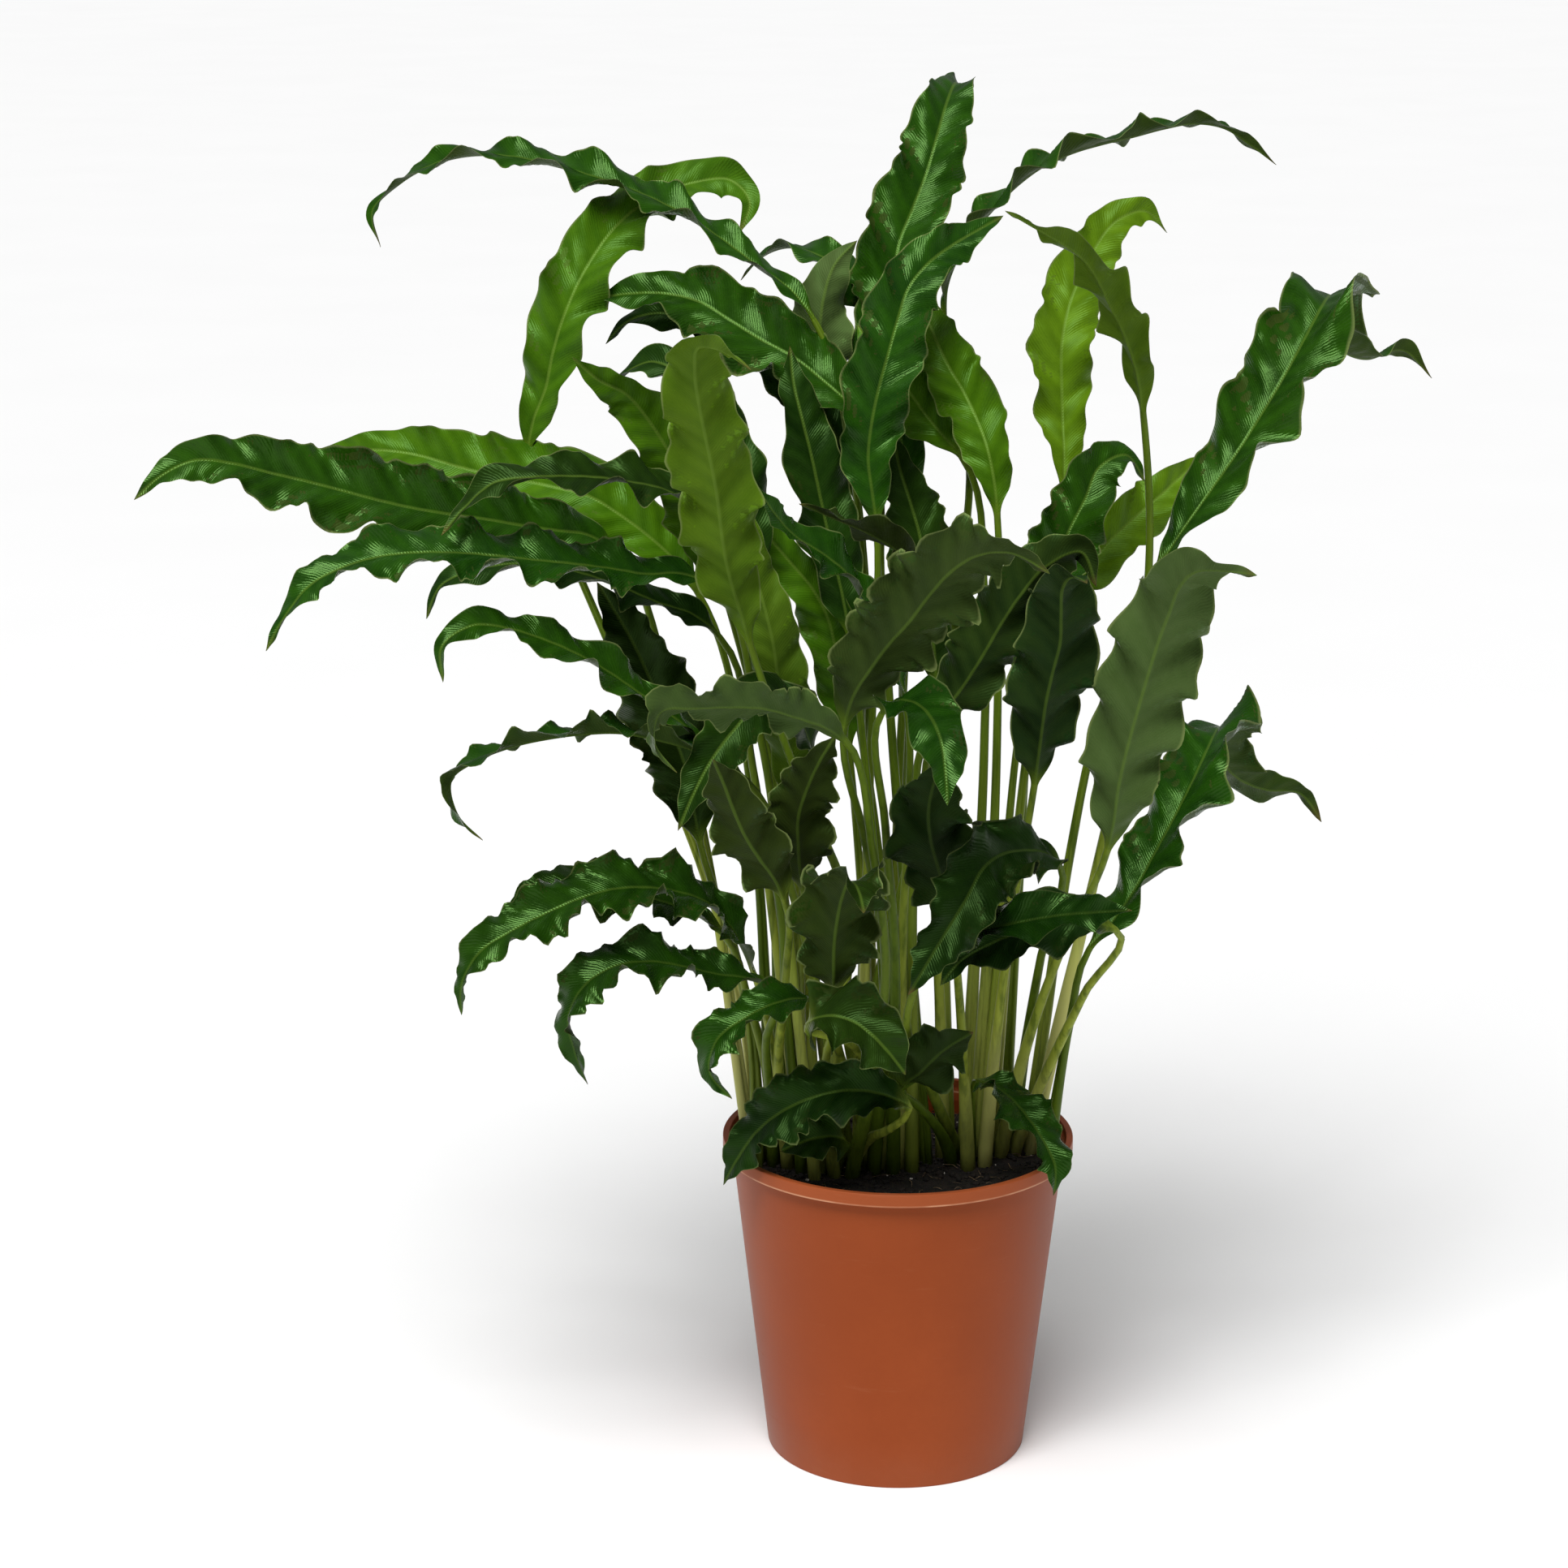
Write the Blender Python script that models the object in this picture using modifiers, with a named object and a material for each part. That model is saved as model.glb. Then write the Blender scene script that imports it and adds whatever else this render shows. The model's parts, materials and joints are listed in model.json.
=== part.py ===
"""A wavy-leaved calathea growing in a plain round nursery pot.

Metres, +Z up. The pot stands on z = 0 with its turning axis on x = y = 0, and the front of the plant is -Y.
The plant is a clump of stalks that rise from the soil and each end in one long ruffled blade.
A stalk and its blade grew as one piece, so they are one object.
"""

import math

import bmesh
import bpy
from mathutils import Vector
from mathutils.bvhtree import BVHTree

CM = 0.01

# ---------------------------------------------------------------- the pot
POT_HEIGHT = 0.196
RIM_RADIUS = 0.105
BASE_RADIUS = 0.078
LIP_HEIGHT = 0.008  # the rolled band round the mouth
LIP_OVERHANG = 0.0055  # how far the band stands out from the wall
WALL = 0.0018
FLOOR = 0.0025
FOOT_ROUND = 0.004  # radius of the corner between wall and base
TURN_STEPS = 48

DRAIN_HOLES = 8
DRAIN_RADIUS = 0.005
DRAIN_CIRCLE = 0.052

# ---------------------------------------------------------------- the soil
SOIL_BELOW_RIM = 0.019
CLEARANCE = 0.0003  # between two pieces that rest against each other

# ---------------------------------------------------------------- the leaves
STALK_RADIUS = 0.0036  # at the soil
NECK_RADIUS = 0.0020  # where the stalk becomes the midrib
SHEATH = 1.15  # the sheath at the foot is this much wider than it is thick
BLADE_STEP = 0.021  # half a ruffle: one edge up, the next one down
STALK_STEP = 0.085
MIDRIB_HALF = 0.0022
MIDRIB_TOP = 0.0005
MIDRIB_KEEL = 0.0013
FOLD = math.radians(16)  # each half of a blade rises this much from the midrib
RUFFLE = 0.28  # depth of a ruffle as a share of the half width
FOOT_SPACING = 0.0100  # between the middles of two stalks at the soil
FOOT_REACH = 0.090  # no stalk starts further from the middle of the pot
PLANTED_AT = 0.177  # height of the soil that the heights of the leaves' points go with

# Half width along a blade, from neck (0) to tip (1), as a share of the widest.
OUTLINE = ((0, 0.1), (0.07, 0.4), (0.18, 0.74), (0.36, 1), (0.57, 0.97), (0.77, 0.7), (0.91, 0.35), (1, 0))

# Base colour and roughness of each tone of leaf: a young leaf is bright, an old one is nearly black-green.
TONES = {
    "fresh": ((0.055, 0.19, 0.018), 0.38),
    "lime": ((0.13, 0.25, 0.03), 0.45),
    "dark": ((0.02, 0.085, 0.018), 0.34),
    "deep": ((0.022, 0.05, 0.022), 0.42),
}

# Where each clump of stalks comes out of the soil, in centimetres.
CROWNS = {
    "left": (-7.0, 1.2),
    "inner_left": (-3.9, -0.2),
    "middle": (-0.4, 0.6),
    "inner_right": (4.2, 1.2),
    "right": (6.6, 2.6),
    "edge": (8.9, 0.0),
}

# One row for each leaf: crown, tone, widest width, the way its upper side faces half way along the blade,
# points that the stalk passes through, points that the midrib passes through. Lengths in centimetres.
UP, BACK, FRONT = (0, -0.6, 1), (0, 1, 0.3), (0, -1, 0.3)
LEAVES = [
    # the long leaves that arch to the left
    ("left", "dark", 5.0, (0, -1, 0.7), [(-12, 1, 40)],
     [(-16.5, 0, 55), (-21.5, -2, 57), (-28, -4, 58.5), (-35, -5, 60.5), (-40, -6, 61.5), (-43, -7, 59.5)]),
    ("left", "fresh", 5.0, (0, -1, 0.5), [(-9, 4, 41)],
     [(-12, 4, 52), (-17.5, 5, 57), (-21.5, 6, 58), (-25, 7, 58.5), (-29.5, 8, 59.5), (-34.5, 9, 59.5)]),
    ("inner_left", "dark", 4.0, (0, -0.6, 1), [(-8, -4, 44)],
     [(-11, -6, 54.5), (-14.5, -8, 55.5), (-18.5, -10, 56.5), (-27.5, -12, 57.5), (-32.5, -13, 56),
      (-35, -14, 52.5)]),
    ("inner_left", "deep", 3.4, UP, [(-7, -2, 42)],
     [(-10, -4, 54), (-12, -6, 59), (-16, -9, 61), (-21, -11, 61.5), (-23, -11, 61), (-25.5, -12, 58.5)]),
    ("inner_left", "dark", 2.8, UP, [(-7, -4, 36)],
     [(-11, -7, 45), (-15, -9, 49), (-19, -11, 52), (-23.5, -12, 53.5), (-25.5, -13, 52.5),
      (-25.5, -13, 50.5)]),
    ("left", "deep", 3.2, UP, [],
     [(-10.5, -2, 50.5), (-14.5, -3, 53), (-19, -4, 55), (-22.5, -5, 55.5), (-26, -6, 54.5),
      (-27, -6, 52.5)]),
    ("inner_left", "dark", 3.0, (0, 0.3, 1), [],
     [(-9, -7, 43.5), (-14.5, -9, 46.5), (-19, -11, 47), (-23.5, -12, 46), (-25.5, -12, 44),
      (-23.5, -13, 41.5)]),
    ("left", "deep", 4.8, FRONT, [(-9, 0, 28)],
     [(-11.7, -3, 38.5), (-12.5, -3, 43), (-14, -3, 47), (-15.5, -3, 50.5), (-17.5, -3, 54)]),
    ("inner_left", "deep", 3.8, (0, -1, 0.6), [],
     [(-7.5, -5, 43), (-10, -7, 47.5), (-12, -8, 48), (-13.5, -9, 46.5), (-14.5, -10, 44.5),
      (-15, -11, 41.5)]),
    # the leaves that stand up on the left
    ("left", "fresh", 4.2, (-0.3, -1, 0.3), [(-10, 3, 30), (-16, 5, 45)],
     [(-22, 6, 59.5), (-21, 7, 63), (-20, 8, 67), (-18, 10, 71), (-15.5, 12, 73.5), (-11.5, 13, 75),
      (-9, 12, 74.5), (-9.5, 11, 72)]),
    ("inner_left", "lime", 4.6, BACK, [(-7, -5, 36)],
     [(-9, -9, 52), (-10, -12, 57), (-10.5, -14, 61.5), (-11.5, -17, 68), (-11, -19, 70), (-8.5, -21, 69)]),
    ("inner_left", "fresh", 3.8, FRONT, [],
     [(-10, -1, 52), (-12, -3, 58.5), (-13.5, -4, 62), (-15.5, -5, 65), (-17, -6, 66), (-18.5, -7, 67.5)]),
    ("left", "deep", 3.2, UP, [],
     [(-8, -1, 54), (-9.5, 0, 60), (-11.5, 1, 64), (-13.5, 2, 65.5), (-15.5, 3, 65.5), (-17, 3, 63)]),
    ("inner_left", "lime", 3.4, BACK, [],
     [(-6, -2, 40), (-7, -3, 47), (-7.5, -4, 51), (-8.5, -4, 55), (-9, -4, 59)]),
    # the leaves that arch over the top
    ("middle", "dark", 3.2, (0, -0.3, 1), [(-2, 4, 52)],
     [(-5, 6, 67.5), (-9, 8, 71), (-14, 10, 74), (-20.5, 12, 76), (-25, 13, 76.5), (-28.5, 14, 75.5),
      (-31.5, 14, 73), (-31, 13, 71)]),
    ("middle", "dark", 4.8, (0, -0.9, 0.7), [(-1, 3, 50)],
     [(-2, 3, 61.5), (-6, 5, 65.5), (-9, 6, 67), (-11.5, 7, 68.5), (-14.5, 8, 69), (-18, 9, 68.5)]),
    ("middle", "deep", 3.4, (0, -0.9, 0.7), [],
     [(-2.5, 5, 57), (-4.5, 7, 62), (-7.5, 8, 65), (-10.5, 9, 66.5), (-15, 10, 67.5), (-17.5, 11, 65.5)]),
    ("middle", "dark", 3.4, (0, -0.2, 1), [],
     [(0, 8, 57), (-0.5, 10, 63), (-1, 11, 66), (-2.5, 12, 69), (-5, 14, 70.5), (-7.5, 16, 70.5),
      (-9.5, 17, 68.5)]),
    ("middle", "deep", 4.0, BACK, [],
     [(-5, 6, 59), (-5, 8, 63.5), (-4.8, 8.5, 66), (-4.5, 9, 68.5), (-3.8, 9.5, 70.5), (-2.5, 10, 71.8)]),
    ("middle", "dark", 5.0, FRONT, [],
     [(0.5, 6, 56), (-0.5, 10, 65.5), (0, 13, 71), (1.5, 15, 74.5), (2.5, 17, 77.5), (3.5, 20, 80),
      (4.5, 25, 79)]),
    ("middle", "dark", 4.2, FRONT, [],
     [(-1.5, 0, 56.5), (-2, 0.5, 60.5), (-1.5, 1, 64), (-0.5, 2, 67.5), (0.3, 3.5, 69.8), (2, 5, 71.5),
      (6, 8, 73.5)]),
    ("inner_right", "fresh", 3.4, FRONT, [(5, 2.5, 50)],
     [(3.5, 5, 60), (2, 6, 61.5), (0.5, 7, 63.5), (-1.5, 9, 65.5), (-2.5, 10, 67)]),
    ("inner_right", "fresh", 3.6, FRONT, [(5.5, -1, 40)],
     [(5.5, 1, 57), (5, 2, 60.5), (4, 4, 63), (2.5, 6, 65.5), (1.5, 9, 67.5), (0, 12, 68.5)]),
    ("middle", "deep", 3.8, UP, [],
     [(-3, 0, 50), (-4.5, 1, 57), (-5.5, 2, 61.5), (-6.2, 3, 64), (-6.5, 4, 66.5)]),
    ("middle", "fresh", 3.4, FRONT, [],
     [(-3, 0.5, 43), (-4, 0, 50), (-5, 0, 52.5), (-7, 0, 55), (-9, 0, 57.5)]),
    # the leaves that stand up and arch to the right
    ("inner_right", "dark", 3.2, (-0.3, 0.2, 1), [],
     [(1, 8, 67.5), (2, 9, 70), (4, 10, 72.5), (8.5, 12, 76), (14, 14, 77.5), (19, 16, 78),
      (23, 17, 75.5)]),
    ("right", "lime", 3.0, (0.7, 1, 0.3), [(14, 0, 50)],
     [(13.5, -2, 63.5), (12.5, -4, 67.5), (11, -6, 70.5), (9.5, -8, 73), (5, -11, 76)]),
    ("inner_right", "lime", 3.8, FRONT, [],
     [(9.5, 4, 58), (9.5, 6, 62.5), (9.5, 7, 66.5), (10.5, 9, 69.5), (12, 10, 72), (14, 11, 73.5),
      (16, 12, 72)]),
    ("right", "lime", 3.4, FRONT, [],
     [(8.5, 4, 51), (11, 5.5, 53), (13, 6.5, 55), (15, 7.5, 56.5), (17, 9, 58), (18.5, 10, 59)]),
    ("right", "dark", 5.4, (-0.5, -1, 0.3), [(11, 1, 42)],
     [(14.7, 0, 54), (17, 1, 57.3), (20, 3, 61.2), (22.7, 5, 65.2), (24.5, 7, 68), (25.6, 10, 68.6),
      (26, 14, 66), (28.5, 18, 63.5), (32, 20, 63.7), (33.5, 20, 62)]),
    ("right", "deep", 5.4, (0.2, 1, 0.2), [],
     [(11.5, -8, 39.5), (12, -10, 44.5), (13, -12, 50), (14, -14, 54.5), (15, -17, 57.5), (18, -20, 58)]),
    ("edge", "dark", 5.2, (-0.5, -1, 0.4), [(9.7, -1, 24)],
     [(11, -3, 32), (13, -2, 34.2), (15.3, 0, 37.6), (17.4, 2, 41), (19, 5, 43.2), (19.8, 8.5, 42.2),
      (20.3, 11, 39.5), (22.5, 13, 37.5), (25.5, 14, 36.8), (26.8, 14, 35)]),
    ("inner_right", "deep", 4.8, BACK, [],
     [(7.5, -5, 42.5), (8, -8, 49), (8.5, -9, 51.5), (8.5, -12, 56), (9.5, -15, 56.5)]),
    ("inner_right", "dark", 4.2, (0, -1, 0.4), [],
     [(7, -1, 46), (9, 1, 54.5), (10.5, 2, 57.5), (11.5, 3, 59.5), (12.8, 3.8, 60.2), (14.3, 4.5, 58.4)]),
    ("middle", "deep", 5.4, (0.2, 1, 0.6), [(-1, -6, 33)],
     [(-3.5, -13, 48), (-2, -15, 52), (0, -17, 55), (2, -19, 58), (4.5, -21, 59.5), (7, -22, 58.5)]),
    ("inner_right", "deep", 4.2, (0.2, 1, 0.5), [],
     [(1.5, -5.5, 45), (4, -7, 50), (5.5, -8, 53), (7.5, -9, 56), (9.5, -9, 57), (10.5, -9, 55)]),
    ("middle", "deep", 3.6, (0, 0.3, 1), [(1, -2, 44)],
     [(3, -4, 51), (-0.5, -6, 56.5), (-3, -7, 58), (-6, -8, 59.5)]),
    ("middle", "deep", 4.0, FRONT, [],
     [(2, 0, 47), (1.5, 1, 52), (1, 2, 56), (0, 3, 59), (-0.5, 4, 61.5)]),
    ("middle", "dark", 3.0, (0, -0.5, 1), [],
     [(0, -7, 48), (-3.5, -9, 56), (-5.5, -10, 57.5), (-7, -11, 59), (-8.5, -12, 61.5)]),
    # the shorter leaves in front
    ("inner_left", "deep", 3.2, (0, 0.9, 0.6), [(-1, -8, 32)],
     [(-3.5, -14, 47.5), (-5.5, -16, 49), (-7.5, -17, 50), (-12, -19, 50.5), (-14, -20, 50),
      (-12.5, -21, 47.5)]),
    ("middle", "deep", 3.8, BACK, [],
     [(-5.7, -8, 37), (-6, -10, 40), (-6, -11, 42.5), (-5, -12, 45.5), (-4, -13, 47.5)]),
    ("left", "deep", 3.8, BACK, [],
     [(-6.8, -11, 37.5), (-8.2, -13, 40.5), (-9.2, -14, 42.5), (-10, -15, 45), (-10.7, -16, 47)]),
    ("middle", "dark", 3.4, (0, -0.8, 0.8), [(-0.5, -7, 34)],
     [(-1.5, -14, 49), (0.3, -17, 50.3), (1.5, -20, 49), (1.8, -22, 46)]),
    ("inner_right", "deep", 4.8, BACK, [],
     [(2.7, -8, 35.5), (2, -10, 38.5), (1.2, -12, 42), (1.3, -13.5, 44.5), (1.8, -15, 46.5)]),
    ("inner_left", "deep", 5.0, BACK, [(-4, -3, 24)],
     [(-4, -10, 31.5), (-4, -12, 35.5), (-3.5, -14, 39), (-3, -16, 40), (-2.5, -18.5, 39)]),
    ("right", "deep", 4.4, (0.3, -0.8, 0.6), [(8, -2, 30)],
     [(9, -6, 38), (5, -11, 40), (3, -14, 38), (0, -16, 33.5)]),
    ("right", "deep", 3.8, (0, -0.8, 0.8), [(10, 1, 28)],
     [(12, -3, 35), (9, -4.5, 35.7), (6, -6, 35), (3, -8, 33.5), (2, -9, 32.3)]),
    ("inner_right", "dark", 3.2, (0, -0.7, 0.8), [(4, -7, 30)],
     [(4.5, -11, 38.5), (6, -12.5, 40), (9, -14, 40.7), (12.5, -16, 40.5)]),
    # the lowest leaves, down to those that hang over the rim
    ("left", "dark", 3.6, (0, -0.5, 1), [],
     [(-10.5, -3, 33), (-14.6, -4, 35.5), (-17.5, -5, 36.2), (-20, -5.5, 36.8), (-23, -6, 35.2)]),
    ("left", "dark", 4.2, (0, -0.6, 1), [],
     [(-8.5, -5, 31), (-10, -6, 34.5), (-12, -7, 36.5), (-16.5, -9, 37.5), (-21.5, -11, 36),
      (-24.5, -12, 34),
      (-25, -12, 31)]),
    ("left", "dark", 3.6, (0.1, -0.4, 1), [],
     [(-7, -7, 31), (-10, -8, 32), (-15.5, -10, 33.5), (-18.5, -11, 32), (-19, -11, 30), (-18, -11, 26.5)]),
    ("inner_left", "dark", 3.0, (0, -0.4, 1), [],
     [(-3.5, -8, 30), (-5.5, -9, 31), (-8, -10.5, 30.7), (-10.3, -11, 29.3), (-11, -11, 27.7),
      (-9.7, -12, 26)]),
    ("middle", "deep", 4.8, (0.3, -0.9, 0.6), [(-2.2, -4, 26)],
     [(-5.5, -8, 30), (-4.5, -10, 31), (-3.2, -11.5, 31), (-1.6, -13, 30), (0, -13.5, 28)]),
    ("inner_right", "deep", 3.8, BACK, [],
     [(0, -6, 24.5), (1, -7.5, 26), (2.3, -8.5, 27.7), (4, -9, 29)]),
    ("inner_left", "deep", 3.8, (0, -0.8, 0.7), [],
     [(0.5, -4, 23.5), (-3, -5, 25), (-6.2, -5.5, 24.1), (-8.5, -5.5, 22.1), (-10.4, -5.5, 18.6)]),
    ("inner_left", "deep", 3.0, (0, -0.8, 0.7), [],
     [(-1.5, -4.2, 20.5), (-3.2, -5.4, 21.3), (-5, -5.9, 21.3), (-7, -6, 20.6)]),
    ("inner_right", "dark", 3.4, (0.5, -0.8, 0.6), [],
     [(4.5, -2, 23.5), (6.5, -5, 23.5), (7.8, -7, 22.3), (8.8, -8, 20.8), (8.8, -8.5, 18.8)]),
]


def cleared():
    for thing in list(bpy.data.objects):
        bpy.data.objects.remove(thing, do_unlink=True)


def collection(name):
    made = bpy.data.collections.new(name)
    bpy.context.scene.collection.children.link(made)
    return made


def material(name, colour, roughness):
    made = bpy.data.materials.new(name)
    made.use_nodes = True
    shader = made.node_tree.nodes["Principled BSDF"]
    shader.inputs["Base Color"].default_value = (*colour, 1)
    shader.inputs["Roughness"].default_value = roughness
    made.diffuse_color = (*colour, 1)
    return made


def mesh_object(name, points, faces, home, surface=None):
    mesh = bpy.data.meshes.new(name)
    mesh.from_pydata([tuple(p) for p in points], [], faces)
    made = bpy.data.objects.new(name, mesh)
    if surface:
        mesh.materials.append(surface)
    home.objects.link(made)
    return made


def turned(name, profile, home, surface):
    """A solid of revolution about Z from (radius, height) points that start and end on the axis."""
    mesh = bpy.data.meshes.new(name)
    points = [(radius, 0, height) for radius, height in profile]
    mesh.from_pydata(points, [(i, i + 1) for i in range(len(points) - 1)], [])
    mesh.materials.append(surface)
    made = bpy.data.objects.new(name, mesh)
    home.objects.link(made)
    turn = made.modifiers.new("turn", "SCREW")
    turn.axis = "Z"
    turn.steps = turn.render_steps = TURN_STEPS
    turn.use_merge_vertices = True
    turn.merge_threshold = 0.00001
    return made


def wall_radius(height):
    """Outer radius of the wall, which tapers from under the lip to the base."""
    share = height / (POT_HEIGHT - LIP_HEIGHT)
    return BASE_RADIUS + share * (RIM_RADIUS - LIP_OVERHANG - BASE_RADIUS)


def pot_profile():
    """From the middle of the floor up the inside, over the lip and down the outside to the base."""
    lip_foot = POT_HEIGHT - LIP_HEIGHT
    throat = RIM_RADIUS - 0.004
    rounding = 0.0016
    corner = [
        (
            wall_radius(FOOT_ROUND) - FOOT_ROUND * (1 - math.cos(math.radians(a))),
            FOOT_ROUND - FOOT_ROUND * math.sin(math.radians(a)),
        )
        for a in (0, 30, 60, 90)
    ]
    return [
        (0, FLOOR),
        (wall_radius(FLOOR) - WALL - 0.003, FLOOR),
        (wall_radius(FLOOR + 0.004) - WALL, FLOOR + 0.004),
        (wall_radius(lip_foot - 0.004) - WALL, lip_foot - 0.004),
        (throat, lip_foot + 0.003),
        (throat, POT_HEIGHT - rounding * 0.6),
        (throat + rounding * 0.6, POT_HEIGHT),
        (RIM_RADIUS - rounding, POT_HEIGHT),
        (RIM_RADIUS, POT_HEIGHT - rounding),
        (RIM_RADIUS, lip_foot + 0.0008),
        (RIM_RADIUS - 0.0008, lip_foot),
        (wall_radius(lip_foot), lip_foot),
        *corner,
        (0, 0),
    ]


def build_pot(home, cutters):
    pot = turned("pot", pot_profile(), home, material("terracotta_plastic", (0.31, 0.09, 0.035), 0.5))
    for hole in range(DRAIN_HOLES):
        angle = 2 * math.pi * (hole + 0.45) / DRAIN_HOLES
        bpy.ops.mesh.primitive_cylinder_add(
            vertices=16,
            radius=DRAIN_RADIUS,
            depth=FLOOR * 4,
            location=(DRAIN_CIRCLE * math.cos(angle), DRAIN_CIRCLE * math.sin(angle), 0),
        )
        cutter = bpy.context.active_object
        cutter.name = f"drain_cutter_{hole + 1}"
        for old in list(cutter.users_collection):
            old.objects.unlink(cutter)
        cutters.objects.link(cutter)
        cutter.hide_render = True
        cutter.display_type = "WIRE"
        cut = pot.modifiers.new(f"drain_{hole + 1}", "BOOLEAN")
        cut.solver = "EXACT"
        cut.operation = "DIFFERENCE"
        cut.object = cutter
    return pot


def soil_top():
    return POT_HEIGHT - SOIL_BELOW_RIM


def foot_reach():
    """How far from the middle a stalk can start: its own limit, or the wall less the room a foot takes."""
    return min(FOOT_REACH, wall_radius(soil_top()) - WALL - CLEARANCE * 2 - STALK_RADIUS * 1.5)


def build_soil(home):
    """The soil fills the pot from just above its floor and is loosely rounded where it meets the wall."""
    top = soil_top()
    low = FLOOR + CLEARANCE
    inside = WALL + CLEARANCE * 2
    profile = [
        (0, top),
        (foot_reach() + 0.0035, top),
        (wall_radius(top - 0.003) - inside, top - 0.003),
        (wall_radius(low + 0.005) - inside, low + 0.005),
        (wall_radius(low) - inside - 0.004, low),
        (0, low),
    ]
    return turned("soil", profile, home, material("potting_soil", (0.02, 0.013, 0.009), 0.95))


def smooth_path(points, parts=12):
    """A curve through all the points, with a tangent at each one that follows its neighbours."""
    ends = [points[0] * 2 - points[1], *points, points[-1] * 2 - points[-2]]
    curve = []
    for a, b, c, d in zip(ends, ends[1:], ends[2:], ends[3:]):
        span = (c - b).length
        out = (c - a) * (span / max((c - a).length, span * 0.5)) if (c - a).length else c - b
        into = (d - b) * (span / max((d - b).length, span * 0.5)) if (d - b).length else c - b
        for step in range(parts):
            t = step / parts
            curve.append(
                b * (2 * t**3 - 3 * t**2 + 1)
                + c * (3 * t**2 - 2 * t**3)
                + out * (t**3 - 2 * t**2 + t)
                + into * (t**3 - t**2)
            )
    curve.append(points[-1].copy())
    return curve


def lengths(curve):
    total = [0.0]
    for a, b in zip(curve, curve[1:]):
        total.append(total[-1] + (b - a).length)
    return total


def at_length(curve, marks, where):
    for i in range(len(marks) - 1):
        if where <= marks[i + 1] or i == len(marks) - 2:
            span = marks[i + 1] - marks[i]
            return curve[i].lerp(curve[i + 1], min(max((where - marks[i]) / span, 0), 1))


def outline(share):
    """Half width of a blade at this share of its length, eased between the points of OUTLINE."""
    for (a, wide_a), (b, wide_b) in zip(OUTLINE, OUTLINE[1:]):
        if share <= b:
            return wide_a + (wide_b - wide_a) * (share - a) / (b - a)
    return 0.0


def feet():
    """Where each stalk meets the soil: round its crown, on the side that its leaf grows to."""
    placed = []
    for crown, _, _, _, _, blade in LEAVES:
        middle = Vector((*CROWNS[crown], 0)) * CM
        away = Vector((blade[0][0], blade[0][1], 0)) * CM - middle
        placed.append(middle + away.normalized() * (0.003 + 0.06 * away.length))
    for _ in range(900):
        for i, one in enumerate(placed):
            for other in placed[:i]:
                gap = one - other
                short = FOOT_SPACING - gap.length
                if short > 0:
                    push = (gap.normalized() if gap.length > 1e-6 else Vector((1, 0, 0))) * (short * 0.5)
                    one += push
                    other -= push
            if one.length > foot_reach():
                one *= foot_reach() / one.length
    return placed


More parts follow.
